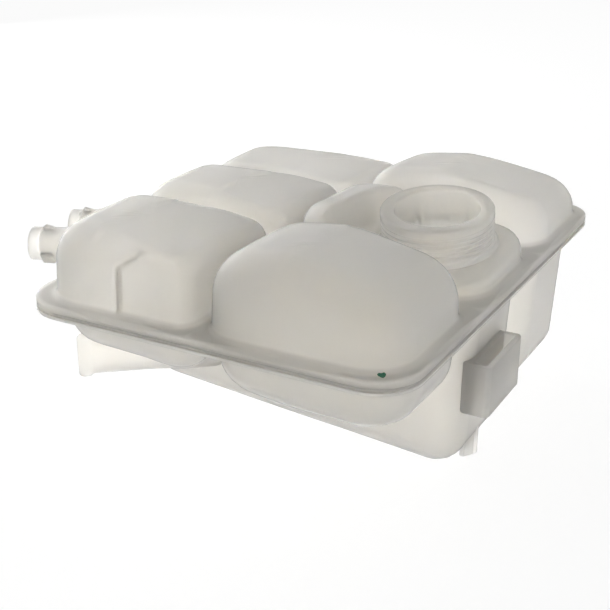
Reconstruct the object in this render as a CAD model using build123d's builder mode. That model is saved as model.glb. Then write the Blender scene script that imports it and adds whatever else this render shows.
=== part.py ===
"""Coolant expansion tank: two polypropylene halves, hot-plate welded at a flange all round.

Millimetres. The model is laid out about the middle of the weld plane, X to the right, Y to the back,
Z up, and is moved at the end so that the origin is the mouth of the bracket socket that carries it.
"""

import os
from math import cos, radians, sin, sqrt, tan

from build123d import *

os.makedirs("parts", exist_ok=True)

# Welded flange, square at the front right, with a left edge that flares out to the back
FLANGE_WIDTH = 188.0
FLANGE_DEPTH = 258.0
FLANGE_CORNER = 21.0
LEFT_FLARE = 8.0
UPPER_FLANGE = 3.6
LOWER_FLANGE = 2.0
WELD_HEIGHT = 1.2
WELD_INSET = 1.4
SCALLOP_DIP = 2.0
SCALLOP_REACH = 3.0
SCALLOP_MARGIN = 6.0

# Walls, and the valleys between the cells
WALL = 2.6
CORNER_WALL = 2.2
CELL_GAP = 4.5
VALLEY_SIDE = 88.0
VALLEY_FLARE = 2.5

# Six cells of the upper half, with pitched roofs that also lean down to the back
UPPER_LAND = 6.0
LEFT_LAND = 9.0
UPPER_DRAFT = 3.0
UPPER_ROUND = 15.0
LOW_ROUND = 11.0
FRONT_ROW = 80.5
MIDDLE_ROW = 76.0
FRONT_LEFT_RIDGE = 38.5
FRONT_RIGHT_RIDGE = 41.5
MIDDLE_LEFT_RIDGE = 33.5
BACK_LEFT_RIDGE = 24.5
BACK_RIGHT_RIDGE = 33.5
FRONT_LEAN = 3.0
MIDDLE_LEAN = 4.0
BACK_LEAN = 5.0
PITCH = 8.0
STEEP_PITCH = 13.0
CROWN_RADIUS = 100.0
RIGHT_RIDGE_SHIFT = 8.0
MIDDLE_RIDGE_SHIFT = 10.0
BACK_RIDGE_SHIFT = 16.0
PANEL_WIDTH = 22.5
PANEL_HEIGHT = 17.0
PANEL_STEP = 0.9
TRANSFER_WIDTH = 14.0
TRANSFER_HEIGHT = 2.0
TRANSFER_OVERLAP = 3.0

# Filler neck, leaning to the front over the right middle cell
NECK_RADIUS = 27.2
NECK_BORE = 20.3
NECK_HEIGHT = 18.0
NECK_LEAN = 8.0
NECK_RIM = 32.5
NECK_SIDE = 42.5
NECK_BACK = 1.5
RIM_BEVEL = 0.8
COLLAR_EXTRA = 1.5
COLLAR_HEIGHT = 1.5
SHELF_ROUND = 8.0
HUMP_WIDTH = 40.0
HUMP_HEIGHT = 33.5
HUMP_ROUND = 12.0
HUMP_SET_IN = 0.6
CAP_CLEARANCE = 5.0
CAP_FLARE = 22.0

# Upper hose stubs on the left wall of the front left cell
STUB_RADIUS = 7.7
STUB_BORE = 5.2
FRONT_STUB_LENGTH = 17.0
BACK_STUB_LENGTH = 13.5
STUB_SWING = 20.0
STUB_RISE = 21.0
STUB_FRONT = 23.5
STUB_SPACING = 28.0
STUB_ROOT = 12.0
STUB_FLARE = 0.5
STUB_RING = 5.0
STUB_GROOVE = 1.2
GROOVE_DEPTH = 0.7
LUG_LENGTH = 5.0
LUG_WIDTH = 4.0
LUG_HEIGHT = 1.4
KEY_LENGTH = 6.0
KEY_WIDTH = 6.0
KEY_HEIGHT = 1.2
KEY_TURN = 35.0

# Bowls of the lower half
LOWER_LAND = 9.0
LOWER_DRAFT = 3.0
LOWER_ROUND = 14.0
TROUGH_FORWARD = 4.0
FRONT_LEFT_DEPTH = 22.0
FRONT_LEFT_FALL = 4.0
FRONT_RIGHT_DEPTH = 28.5
FRONT_RIGHT_FALL = 2.0
TROUGH_DEPTH = 78.0
TROUGH_FALL = 5.0
BACK_LEFT_DEPTH = 43.0
BACK_RIGHT_DEPTH = 75.0

# Outlet spigot, from the front wall of the trough to the front left
SPIGOT_RADIUS = 9.7
SPIGOT_BORE = 7.4
SPIGOT_BEAD = 1.3
SPIGOT_BEAD_LENGTH = 7.0
SPIGOT_LENGTH = 57.5
SPIGOT_SWING = 40.0
SPIGOT_DROP = 48.0
SPIGOT_SIDE = 34.0
SPIGOT_ROOT = 14.0

# Bracket socket on the right wall of the trough
SOCKET_WIDTH = 44.0
SOCKET_HEIGHT = 26.0
SOCKET_REACH = 10.0
SOCKET_SLOT = 5.6
SOCKET_WALL = 2.8
SOCKET_TOP = 28.0
SOCKET_SET_BACK = 9.5
SOCKET_CORNER = 3.0

# Locating foot under the right end of the trough
FOOT_WIDTH = 18.0
FOOT_WEB = 2.4
FOOT_RIB = 2.2
FOOT_BOTTOM = 89.5
FOOT_TOP = 62.0
FOOT_INSET = 6.0
FOOT_SET_BACK = 21.5
FOOT_ROUND = 4.0

# Edges of the flange, and the plan lines that the cells stand between: X at the front, and flare
edge_x = FLANGE_WIDTH / 2
edge_y = FLANGE_DEPTH / 2
left_line = (-edge_x, LEFT_FLARE)
valley_line = (VALLEY_SIDE - edge_x, VALLEY_FLARE)
hump_line = (VALLEY_SIDE - edge_x + HUMP_WIDTH, VALLEY_FLARE)
right_line = (edge_x, 0.0)

# Rows of the upper and the lower half, front to back
front_row = (UPPER_LAND - edge_y, UPPER_LAND - edge_y + FRONT_ROW)
middle_row = (front_row[1] + CELL_GAP, front_row[1] + CELL_GAP + MIDDLE_ROW)
back_row = (middle_row[1] + CELL_GAP, edge_y - UPPER_LAND)
trough_row = (middle_row[0] - TROUGH_FORWARD, middle_row[1])
lower_front_row = (LOWER_LAND - edge_y, trough_row[0] - CELL_GAP)
lower_back_row = (trough_row[1] + CELL_GAP, edge_y - LOWER_LAND)

# Filler neck's own frame: origin at the middle of the rim, Z along the neck
neck_plane = Plane(
    origin=(edge_x - NECK_SIDE, NECK_BACK, NECK_RIM),
    x_dir=(1, 0, 0),
    z_dir=(0, -sin(radians(NECK_LEAN)), cos(radians(NECK_LEAN))),
)
neck_section = Plane(origin=neck_plane.origin, x_dir=neck_plane.x_dir, z_dir=-neck_plane.y_dir)
neck_axis = Axis(neck_plane.origin, neck_plane.z_dir)


def x_on(line, y):
    """X of a plan line at one depth."""
    start, flare = line
    return start - (y + edge_y) * tan(radians(flare))


def outline(left, left_gap, right, right_gap, row):
    """Plan of a cell between two lines, anticlockwise from its front left corner."""
    front, back = row
    return [
        (x_on(left, front) + left_gap, front),
        (x_on(right, front) - right_gap, front),
        (x_on(right, back) - right_gap, back),
        (x_on(left, back) + left_gap, back),
    ]


def left_plan(row, land):
    return outline(left_line, land, valley_line, CELL_GAP / 2, row)


def right_plan(row, land):
    return outline(valley_line, CELL_GAP / 2, right_line, land, row)


def flange_plan(inset=0.0):
    """Outline of the flange with its round corners."""
    with BuildSketch() as plan:
        with BuildLine():
            Polyline(*outline(left_line, 0, right_line, 0, (-edge_y, edge_y)), close=True)
        make_face()
        fillet(plan.vertices(), FLANGE_CORNER)
        if inset:
            offset(amount=-inset, mode=Mode.REPLACE)
    return plan.sketch


def over(corners, height, right_lean, back_lean, shift=0.0):
    """Plane at a height over the middle of a cell, leaning down to the right and to the back."""
    middle_x = sum(x for x, _ in corners) / len(corners)
    middle_y = sum(y for _, y in corners) / len(corners)
    slope = (tan(radians(right_lean)), tan(radians(back_lean)), 1)
    return Plane(origin=(middle_x + shift, middle_y, height), z_dir=slope)


def ridges(body):
    """Edges of a cell that lie between two roof faces."""
    roofs = body.faces().filter_by(lambda face: face.normal_at().Z > 0.5)
    return roofs.edges() - (body.faces() - roofs).edges()


def cell(corners, tops, draft, edge_round, inset=0.0):
    """Drafted walls under one or more roof planes. Inside, bevels keep the round corners covered."""
    ball_corner = (sqrt(3) - 1) * edge_round
    bevel = (ball_corner + CORNER_WALL - sqrt(3) * WALL) * 2 / sqrt(3)
    with BuildPart() as body:
        with BuildSketch():
            with BuildLine():
                Polyline(*corners, close=True)
            make_face()
            if inset:
                offset(amount=-inset, kind=Kind.INTERSECTION, mode=Mode.REPLACE)
        extrude(amount=2 * tops[0].origin.Z, taper=draft)
        for top in tops:
            split(bisect_by=top.offset(-inset), keep=Keep.BOTTOM)
        if len(tops) > 1 and not inset:
            fillet(ridges(body.part)[0], CROWN_RADIUS)
        edges = body.edges() - body.faces().sort_by(Axis.Z)[0].edges() - ridges(body.part)
        if inset:
            chamfer(edges, bevel)
        else:
            fillet(edges, edge_round)
    return body.part


def dome(corners, edge_round, ridge, back_lean, left_pitch, right_pitch, shift=0.0, inset=0.0):
    """Upper cell with a pitched roof whose ridge is rounded to a crown, running front to back."""
    tops = [
        over(corners, ridge, -left_pitch, back_lean, shift),
        over(corners, ridge, right_pitch, back_lean, shift),
    ]
    if inset:
        crown_drop = CROWN_RADIUS * (1 / cos(radians((left_pitch + right_pitch) / 2)) - 1)
        tops.append(over(corners, ridge - crown_drop, 0, back_lean, shift))
    return cell(corners, tops, UPPER_DRAFT, edge_round, inset)


def bowl(corners, depth, fall, inset=0.0):
    """Cell turned over for the lower half, with a floor that falls to the right."""
    body = cell(corners, [over(corners, depth, -fall, 0)], LOWER_DRAFT, LOWER_ROUND, inset)
    return mirror(body, about=Plane.XY)


def hump(inset=0.0):
    """High left end of the right middle cell, hollowed round the neck to clear the cap."""
    row = (middle_row[0] + HUMP_SET_IN, middle_row[1] - HUMP_SET_IN)
    corners = outline(valley_line, CELL_GAP / 2 + HUMP_SET_IN, hump_line, 0, row)
    top = over(corners, HUMP_HEIGHT, 0, MIDDLE_LEAN)
    whole = cell(corners, [top], UPPER_DRAFT, HUMP_ROUND, inset)
    clear = NECK_RADIUS + CAP_CLEARANCE + inset / cos(radians(CAP_FLARE))
    clear_top = clear + (HUMP_HEIGHT + NECK_HEIGHT) * tan(radians(CAP_FLARE))
    with BuildPart() as body:
        add(whole)
        with BuildSketch(neck_section):
            with BuildLine():
                Polyline(
                    (0, -2 * NECK_RIM),
                    (clear, -2 * NECK_RIM),
                    (clear, -NECK_HEIGHT),
                    (clear_top, HUMP_HEIGHT),
                    (0, HUMP_HEIGHT),
                    close=True,
                )
            make_face()
        revolve(axis=neck_axis, mode=Mode.SUBTRACT)
    return body.part


def neck():
    """Filler neck on its collar, from the roof of the shelf up to the rim."""
    collar = NECK_RADIUS + COLLAR_EXTRA
    collar_top = COLLAR_HEIGHT - NECK_HEIGHT
    root = -NECK_HEIGHT - WALL
    with BuildPart() as body:
        with BuildSketch(neck_section):
            with BuildLine():
                Polyline(
                    (0, 0),
                    (NECK_RADIUS - RIM_BEVEL, 0),
                    (NECK_RADIUS, -RIM_BEVEL),
                    (NECK_RADIUS, collar_top),
                    (collar, collar_top),
                    (collar, root),
                    (0, root),
                    close=True,
                )
            make_face()
        revolve(axis=neck_axis)
    return body.part


def stub(y_root, length):
    """Upper hose stub with a grooved end ring, a snap lug on top and a key low on its front."""
    swing = radians(STUB_SWING)
    axis_plane = Plane(
        origin=(x_on(left_line, y_root) + LEFT_LAND, y_root, STUB_RISE),
        x_dir=(-cos(swing), -sin(swing), 0),
        z_dir=(0, 0, 1),
    )
    upright = Plane(origin=axis_plane.origin, x_dir=axis_plane.x_dir, z_dir=-axis_plane.y_dir)
    across = Plane(origin=axis_plane.origin, x_dir=(0, 0, 1), z_dir=axis_plane.x_dir)
    ring = length - STUB_RING
    groove = ring - STUB_GROOVE
    groove_radius = STUB_RADIUS - GROOVE_DEPTH
    with BuildPart() as body:
        with BuildSketch(axis_plane):
            with BuildLine():
                Polyline(
                    (-STUB_ROOT, 0),
                    (-STUB_ROOT, STUB_RADIUS + STUB_FLARE),
                    (0, STUB_RADIUS + STUB_FLARE),
                    (groove, STUB_RADIUS),
                    (groove, groove_radius),
                    (ring, groove_radius),
                    (ring, STUB_RADIUS),
                    (length, STUB_RADIUS),
                    (length, 0),
                    close=True,
                )
            make_face()
        revolve(axis=Axis(axis_plane.origin, axis_plane.x_dir))
        with BuildSketch(upright):
            with BuildLine():
                Polyline(
                    (groove, 0),
                    (groove, STUB_RADIUS + LUG_HEIGHT),
                    (groove - LUG_LENGTH, STUB_RADIUS),
                    (groove - LUG_LENGTH, 0),
                    close=True,
                )
            make_face()
        extrude(amount=LUG_WIDTH / 2, both=True)
        with BuildSketch(across.rotated((0, 0, 180 - KEY_TURN)).offset(groove - KEY_LENGTH)):
            with Locations((STUB_RADIUS / 2 + KEY_HEIGHT / 2, 0)):
                Rectangle(STUB_RADIUS + KEY_HEIGHT, KEY_WIDTH)
        extrude(amount=KEY_LENGTH)
    return body.part, across.offset(length)


def scallop(start, end, land=UPPER_LAND):
    """Shallow dip in the top edge of the flange along one outer side of a cell."""
    along = Vector(*end) - Vector(*start)
    outward = along.cross(Vector(0, 0, 1)).normalized()
    half = along.length / 2 - SCALLOP_MARGIN
    middle = (Vector(*start) + Vector(*end)) / 2
    with BuildPart() as cut:
        with BuildSketch(Plane(origin=middle + outward * land, x_dir=along, z_dir=outward)):
            with BuildLine():
                ThreePointArc(
                    (-half, UPPER_FLANGE), (0, UPPER_FLANGE - SCALLOP_DIP), (half, UPPER_FLANGE)
                )
                Line((half, UPPER_FLANGE), (-half, UPPER_FLANGE))
            make_face()
        extrude(amount=-SCALLOP_REACH)
    return cut.part


# Plans of the upper cells
front_left = left_plan(front_row, LEFT_LAND)
front_right = right_plan(front_row, UPPER_LAND)
middle_left = left_plan(middle_row, LEFT_LAND)
middle_right = right_plan(middle_row, UPPER_LAND)
back_left = left_plan(back_row, LEFT_LAND)
back_right = right_plan(back_row, UPPER_LAND)

# Cells of the upper half, outside and inside
domes = [
    (front_left, UPPER_ROUND, FRONT_LEFT_RIDGE, FRONT_LEAN, PITCH, PITCH),
    (front_right, UPPER_ROUND, FRONT_RIGHT_RIDGE, FRONT_LEAN, PITCH, STEEP_PITCH, -RIGHT_RIDGE_SHIFT),
    (middle_left, UPPER_ROUND, MIDDLE_LEFT_RIDGE, MIDDLE_LEAN, PITCH, PITCH, MIDDLE_RIDGE_SHIFT),
    (back_left, LOW_ROUND, BACK_LEFT_RIDGE, BACK_LEAN, PITCH, PITCH, BACK_RIDGE_SHIFT),
    (back_right, UPPER_ROUND, BACK_RIGHT_RIDGE, BACK_LEAN, PITCH, STEEP_PITCH, -RIGHT_RIDGE_SHIFT),
]
shelf_top = neck_plane.offset(-NECK_HEIGHT)
upper_outside = [dome(*sizes) for sizes in domes]
upper_outside += [cell(middle_right, [shelf_top], UPPER_DRAFT, SHELF_ROUND)]
upper_inside = [dome(*sizes, inset=WALL) for sizes in domes]
upper_inside += [cell(middle_right, [shelf_top], UPPER_DRAFT, SHELF_ROUND, WALL)]
neck_and_hump = [neck(), hump()]
hump_inside = hump(WALL)
stubs = [
    stub(front_row[0] + STUB_FRONT, FRONT_STUB_LENGTH),
    stub(front_row[0] + STUB_FRONT + STUB_SPACING, BACK_STUB_LENGTH),
]

# Dips of the flange along the outer sides of the cells, clockwise from the front left
scallops = [
    scallop(*front_left[:2]),
    scallop(front_left[3], front_left[0], LEFT_LAND),
    scallop(middle_left[3], middle_left[0], LEFT_LAND),
    scallop(back_left[3], back_left[0], LEFT_LAND),
    scallop(*back_left[2:]),
    scallop(*back_right[2:]),
    scallop(*back_right[1:3]),
    scallop(*middle_right[1:3]),
    scallop(*front_right[1:3]),
    scallop(*front_right[:2]),
]

# Upper half
with BuildPart() as upper_shell:
    with BuildSketch():
        add(flange_plan())
    extrude(amount=UPPER_FLANGE)
    add(upper_outside)
    add(scallops, mode=Mode.SUBTRACT)

    # Panel on the front wall of the front left cell, set back by a small step
    front_wall = Plane(
        origin=(front_left[1][0] - UPPER_ROUND, front_row[0], 0),
        x_dir=(1, 0, 0),
        z_dir=(0, -cos(radians(UPPER_DRAFT)), sin(radians(UPPER_DRAFT))),
    )
    with BuildSketch(front_wall):
        with Locations((-PANEL_WIDTH / 2, UPPER_FLANGE + PANEL_HEIGHT / 2)):
            Rectangle(PANEL_WIDTH, PANEL_HEIGHT)
    extrude(amount=-PANEL_STEP, mode=Mode.SUBTRACT)

    add(neck_and_hump)
    add([body for body, _ in stubs])
    add(upper_inside, mode=Mode.SUBTRACT)
    add(hump_inside, mode=Mode.SUBTRACT)

    # Bores of the filler neck and the stubs
    with BuildSketch(neck_plane):
        Circle(NECK_BORE)
    extrude(amount=-NECK_HEIGHT - COLLAR_EXTRA - WALL, mode=Mode.SUBTRACT)
    for _, mouth in stubs:
        with BuildSketch(mouth):
            Circle(STUB_BORE)
        extrude(amount=-FRONT_STUB_LENGTH - STUB_ROOT, mode=Mode.SUBTRACT)

    # Transfer notches under the webs, so that coolant passes from cell to cell
    notch_reach = CELL_GAP + 2 * WALL + 2 * TRANSFER_OVERLAP
    web_rows = [front_row[1] + CELL_GAP / 2, middle_row[1] + CELL_GAP / 2]
    columns = [(left_line, valley_line), (valley_line, right_line)]
    with BuildSketch():
        with Locations(*[((x_on(a, y) + x_on(b, y)) / 2, y) for a, b in columns for y in web_rows]):
            Rectangle(TRANSFER_WIDTH, notch_reach)
        with Locations(*[(x_on(valley_line, sum(r) / 2), sum(r) / 2) for r in (front_row, back_row)]):
            Rectangle(notch_reach, TRANSFER_WIDTH)
    extrude(amount=TRANSFER_HEIGHT, mode=Mode.SUBTRACT)

# Bowls of the lower half, outside and inside; the trough runs the full width
trough = outline(left_line, LOWER_LAND, right_line, LOWER_LAND, trough_row)
bowls = [
    (left_plan(lower_front_row, LOWER_LAND), FRONT_LEFT_DEPTH, FRONT_LEFT_FALL),
    (right_plan(lower_front_row, LOWER_LAND), FRONT_RIGHT_DEPTH, FRONT_RIGHT_FALL),
    (trough, TROUGH_DEPTH, TROUGH_FALL),
    (left_plan(lower_back_row, LOWER_LAND), BACK_LEFT_DEPTH, 0.0),
    (right_plan(lower_back_row, LOWER_LAND), BACK_RIGHT_DEPTH, 0.0),
]
lower_outside = [bowl(*sizes) for sizes in bowls]
lower_inside = [bowl(*sizes, WALL) for sizes in bowls]

# Outlet spigot's frame, where its axis leaves the front wall of the trough
spigot_swing = radians(SPIGOT_SWING)
spigot_plane = Plane(
    origin=(trough[0][0] + SPIGOT_SIDE, trough_row[0], -SPIGOT_DROP),
    x_dir=(-cos(spigot_swing), -sin(spigot_swing), 0),
    z_dir=(0, 0, 1),
)
spigot_across = Plane(origin=spigot_plane.origin, x_dir=(0, 0, 1), z_dir=spigot_plane.x_dir)

# Bracket socket's slot, in plan
trough_right = trough[1][0]
slot_x = trough_right + SOCKET_REACH - SOCKET_WALL - SOCKET_SLOT / 2
socket_y = trough_row[0] + SOCKET_SET_BACK + SOCKET_WIDTH / 2

# Lower half
with BuildPart() as lower_shell:
    with BuildSketch(Plane.XY.offset(-WELD_HEIGHT)):
        add(flange_plan())
    extrude(amount=-LOWER_FLANGE)
    with BuildSketch():
        add(flange_plan(WELD_INSET))
    extrude(amount=-WELD_HEIGHT)
    add(lower_outside)

    # Outlet spigot with its hose bead
    bead = SPIGOT_LENGTH - SPIGOT_BEAD_LENGTH
    with BuildSketch(spigot_plane):
        with BuildLine():
            Polyline(
                (-SPIGOT_ROOT, 0),
                (-SPIGOT_ROOT, SPIGOT_RADIUS),
                (bead, SPIGOT_RADIUS),
                (bead + SPIGOT_BEAD, SPIGOT_RADIUS + SPIGOT_BEAD),
                (SPIGOT_LENGTH - SPIGOT_BEAD, SPIGOT_RADIUS + SPIGOT_BEAD),
                (SPIGOT_LENGTH, SPIGOT_RADIUS),
                (SPIGOT_LENGTH, 0),
                close=True,
            )
        make_face()
    revolve(axis=Axis(spigot_plane.origin, spigot_plane.x_dir))

    # Bracket socket, a sleeve open above and below
    with BuildSketch(Plane.XY.offset(-SOCKET_TOP)):
        with Locations((trough_right, socket_y)):
            RectangleRounded(2 * SOCKET_REACH, SOCKET_WIDTH, SOCKET_CORNER)
    extrude(amount=-SOCKET_HEIGHT)

    # Locating foot, a web with a round rib on its back edge
    foot_x = trough_right - FOOT_INSET
    foot_y = trough_row[0] + FOOT_SET_BACK
    with BuildSketch(Plane(origin=(foot_x, foot_y, 0), x_dir=(0, 1, 0), z_dir=(1, 0, 0))):
        with Locations((FOOT_WIDTH / 2, -(FOOT_TOP + FOOT_BOTTOM) / 2)):
            RectangleRounded(FOOT_WIDTH, FOOT_BOTTOM - FOOT_TOP, FOOT_ROUND)
    extrude(amount=FOOT_WEB / 2, both=True)
    with BuildSketch(Plane.XY.offset(-FOOT_TOP)):
        with Locations((foot_x, foot_y + FOOT_WIDTH - FOOT_RIB)):
            Circle(FOOT_RIB)
    extrude(amount=FOOT_TOP - FOOT_BOTTOM)

    # Hollows of the bowls, the spigot and the socket
    add(lower_inside, mode=Mode.SUBTRACT)
    with BuildSketch(spigot_across.offset(SPIGOT_LENGTH)):
        Circle(SPIGOT_BORE)
    extrude(amount=-SPIGOT_LENGTH - SPIGOT_ROOT, mode=Mode.SUBTRACT)
    with BuildSketch(Plane.XY.offset(-SOCKET_TOP)):
        with Locations((slot_x, socket_y)):
            Rectangle(SOCKET_SLOT, SOCKET_WIDTH - 2 * SOCKET_WALL)
    extrude(amount=-SOCKET_HEIGHT, mode=Mode.SUBTRACT)

# Origin at the mouth of the bracket socket
to_socket = Location((-slot_x, -socket_y, SOCKET_TOP))
for name, half in (("upper_shell", upper_shell.part), ("lower_shell", lower_shell.part)):
    half.move(to_socket)
    half.label = name
    export_step(half, f"parts/{name}.step")
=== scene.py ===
from math import cos, pi, radians, sin, tan

import bmesh
import bpy
import numpy as np
from mathutils import Matrix, Vector
from mathutils.bvhtree import BVHTree


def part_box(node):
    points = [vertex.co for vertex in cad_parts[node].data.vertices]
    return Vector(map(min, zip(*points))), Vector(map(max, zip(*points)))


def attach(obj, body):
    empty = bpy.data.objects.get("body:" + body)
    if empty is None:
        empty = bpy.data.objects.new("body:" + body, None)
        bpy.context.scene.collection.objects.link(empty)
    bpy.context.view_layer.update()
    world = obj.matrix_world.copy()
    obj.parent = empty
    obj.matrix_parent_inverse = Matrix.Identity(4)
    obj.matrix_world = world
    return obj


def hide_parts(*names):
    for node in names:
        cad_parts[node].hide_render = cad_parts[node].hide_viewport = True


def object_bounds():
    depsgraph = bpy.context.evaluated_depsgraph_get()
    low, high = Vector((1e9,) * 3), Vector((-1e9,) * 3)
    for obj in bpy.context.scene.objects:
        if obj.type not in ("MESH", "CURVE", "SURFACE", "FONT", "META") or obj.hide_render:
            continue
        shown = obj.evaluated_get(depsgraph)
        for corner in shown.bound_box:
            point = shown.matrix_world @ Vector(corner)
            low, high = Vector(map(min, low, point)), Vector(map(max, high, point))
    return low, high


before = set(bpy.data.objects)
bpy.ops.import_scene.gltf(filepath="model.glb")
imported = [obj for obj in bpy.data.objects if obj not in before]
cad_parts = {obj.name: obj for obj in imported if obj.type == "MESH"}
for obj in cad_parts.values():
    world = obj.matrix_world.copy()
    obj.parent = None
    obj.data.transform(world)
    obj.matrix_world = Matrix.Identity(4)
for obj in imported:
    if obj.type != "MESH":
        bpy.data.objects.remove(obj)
cad_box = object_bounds()

# The frame of the drawing: the middle of the weld plane, in millimetres, X right, Y back, Z up.
# The halves meet at the underside of the upper one, and its flange is straight on the right.
MM = 0.001
FLANGE_WIDTH, FLANGE_DEPTH = 188.0, 258.0
SHARP_EDGE = radians(50)
upper_low, upper_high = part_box("upper_shell")
weld_middle = Vector((
    upper_high.x - FLANGE_WIDTH / 2 * MM,
    (upper_low.y + upper_high.y) / 2,
    upper_low.z,
))


def placed(name, mesh, material, closed=True):
    """Object in the part's frame, from a mesh drawn in millimetres about the weld plane."""
    if closed:
        bmesh.ops.recalc_face_normals(mesh, faces=mesh.faces[:])
    mesh_data = bpy.data.meshes.new(name)
    mesh.to_mesh(mesh_data)
    mesh.free()
    mesh_data.transform(Matrix.Translation(weld_middle) @ Matrix.Scale(MM, 4))
    mesh_data.shade_smooth()
    mesh_data.set_sharp_from_angle(angle=SHARP_EDGE)
    mesh_data.materials.append(material)
    piece = bpy.data.objects.new(name, mesh_data)
    bpy.context.scene.collection.objects.link(piece)
    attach(piece, "root")
    return piece


# Natural polypropylene, injection moulded with no pigment: milky, a little warm, and it lets light through.
# Walls are satin from a finely sparked mould, whose grain is drawn coarser than it is so that it shows, with
# faint clouds where the melt cooled. Shade is painted into its colour where more plastic lies behind.
def linear(code):
    """Linear colour of an sRGB hex value."""
    parts = [int(code[k:k + 2], 16) / 255 for k in (1, 3, 5)]
    return [c / 12.92 if c <= 0.04045 else ((c + 0.055) / 1.055) ** 2.4 for c in parts] + [1.0]


def node(tree, kind, links=None, **settings):
    """Adds a node, sets its properties and sockets, and links other nodes' outputs to its sockets."""
    made = tree.nodes.new(kind)
    for name, value in settings.items():
        if hasattr(made, name):
            setattr(made, name, value)
        else:
            made.inputs[name.replace("_", " ")].default_value = value
    for name, output in (links or {}).items():
        tree.links.new(output, made.inputs[name])
    return made


CLOUD_MM = 45.0
GRAIN_MM = 0.9
# value of the colour under one unit of painted shade
PAINTED_SHADE_VALUE = 0.78
polypropylene = bpy.data.materials.new("natural_polypropylene")
polypropylene.use_nodes = True
tree = polypropylene.node_tree
tree.nodes.clear()
place = node(tree, "ShaderNodeTexCoord")
clouds = node(
    tree, "ShaderNodeTexNoise", {"Vector": place.outputs["Object"]},
    Scale=1 / (CLOUD_MM * MM), Detail=3.0, Roughness=0.55,
)
grain = node(
    tree, "ShaderNodeTexNoise", {"Vector": place.outputs["Object"]},
    Scale=1 / (GRAIN_MM * MM), Detail=2.0,
)
milk = node(tree, "ShaderNodeValToRGB", {"Fac": clouds.outputs["Fac"]})
milk.color_ramp.elements[0].position = 0.3
milk.color_ramp.elements[0].color = linear("#fbf9f3")
milk.color_ramp.elements[1].position = 0.7
milk.color_ramp.elements[1].color = linear("#fdfbf8")
# painted shade: the milk colour is darkened by the amount the mesh stores, for light that thick plastic
# holds back
shade_attribute = node(tree, "ShaderNodeAttribute", attribute_name="painted_shade_stock")
shade_value = node(
    tree, "ShaderNodeMapRange", {"Value": shade_attribute.outputs["Fac"]},
    clamp=False, To_Min=1.0, To_Max=PAINTED_SHADE_VALUE,
)
shaded_milk = node(
    tree, "ShaderNodeHueSaturation", {"Color": milk.outputs["Color"], "Value": shade_value.outputs["Result"]},
)
satin = node(tree, "ShaderNodeMapRange", {"Value": clouds.outputs["Fac"]}, To_Min=0.55, To_Max=0.65)
sparked = node(
    tree, "ShaderNodeBump", {"Height": grain.outputs["Fac"]},
    Strength=0.06, Distance=0.0003,
)
surface = node(
    tree, "ShaderNodeBsdfPrincipled",
    {
        "Base Color": shaded_milk.outputs["Color"],
        "Roughness": satin.outputs["Result"],
        "Normal": sparked.outputs["Normal"],
    },
    IOR=1.49, Transmission_Weight=0.92,
    Subsurface_Weight=1.0, Subsurface_Scale=0.004, Subsurface_Radius=(1.0, 0.95, 0.85),
)
node(tree, "ShaderNodeOutputMaterial", {"Surface": surface.outputs["BSDF"]})


# Upper half: one moulding with six pillow-shaped cells on a flange, walls drafted to leave the mould and
# soft fillets at their feet. The wall is 2.6 mm all over, and is drawn as a 0.5 mm skin, because thick
# clear walls would bend the light into dark outlines that the milky plastic doesn't show.
WALL, SKIN = 2.6, 0.5
LAND_HEIGHT = 3.6
EDGE_OUT, EDGE_DOWN = 0.55, 0.25
EDGE_ROUND = EDGE_OUT + EDGE_DOWN
FLANGE_CORNER = 21.0
LEFT_FLARE, VALLEY_FLARE = 8.0, 2.5
VALLEY_SIDE = 88.0
FRONT_GROOVE, BACK_GROOVE = -40.25, 40.25
HALF_GAP = 2.25
UPPER_LAND, LEFT_LAND = 6.0, 9.0
FILLET, FILLET_SHARE = 3.0, 0.8
SCALLOP_DIP, SCALLOP_MARGIN = 2.0, 6.0
DRAFT = 3.0
SHOULDER, LEFT_FADE, RIGHT_FADE = 16.0, (-0.5, -0.1), (0.45, 0.75)
LEAST_WALL = 0.5
CROWN = 10.0
SWELL, SWELL_REACH = 1.3, 40.0
SIDE_POINTS, CORNER_POINTS, WALL_ROWS = 30, 9, 5

edge_x, edge_y = FLANGE_WIDTH / 2, FLANGE_DEPTH / 2


def flared(x_front, flare):
    """Plan line that starts at one X on the front edge and swings left to the back."""
    return np.array((x_front, -edge_y)), np.array((-sin(radians(flare)), cos(radians(flare))))


def crossways(y):
    """Plan line from left to right."""
    return np.array((0.0, y)), np.array((1.0, 0.0))


front_edge, back_edge = crossways(-edge_y), crossways(edge_y)
front_groove, back_groove = crossways(FRONT_GROOVE), crossways(BACK_GROOVE)
left_edge = flared(-edge_x, LEFT_FLARE)
valley = flared(VALLEY_SIDE - edge_x, VALLEY_FLARE)
right_edge = flared(edge_x, 0.0)


def meet(first, second):
    """Where two plan lines cross."""
    (p, d), (q, e) = first, second
    share = np.linalg.solve(np.array((d, -e)).T, q - p)[0]
    return p + d * share


def inward(direction):
    """Left of a direction, which is inside a loop that runs front, right, back, left."""
    return np.array((-direction[1], direction[0]))


def around(sides):
    """Plan lines of the front, right, back and left, each turned to run on from the one before."""
    front, right, back, left = sides
    return [front, right, (back[0], -back[1]), (left[0], -left[1])]


even = np.linspace(0, 1, SIDE_POINTS + 2)[1:-1]
all_even = (even, even, even, even)


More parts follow.
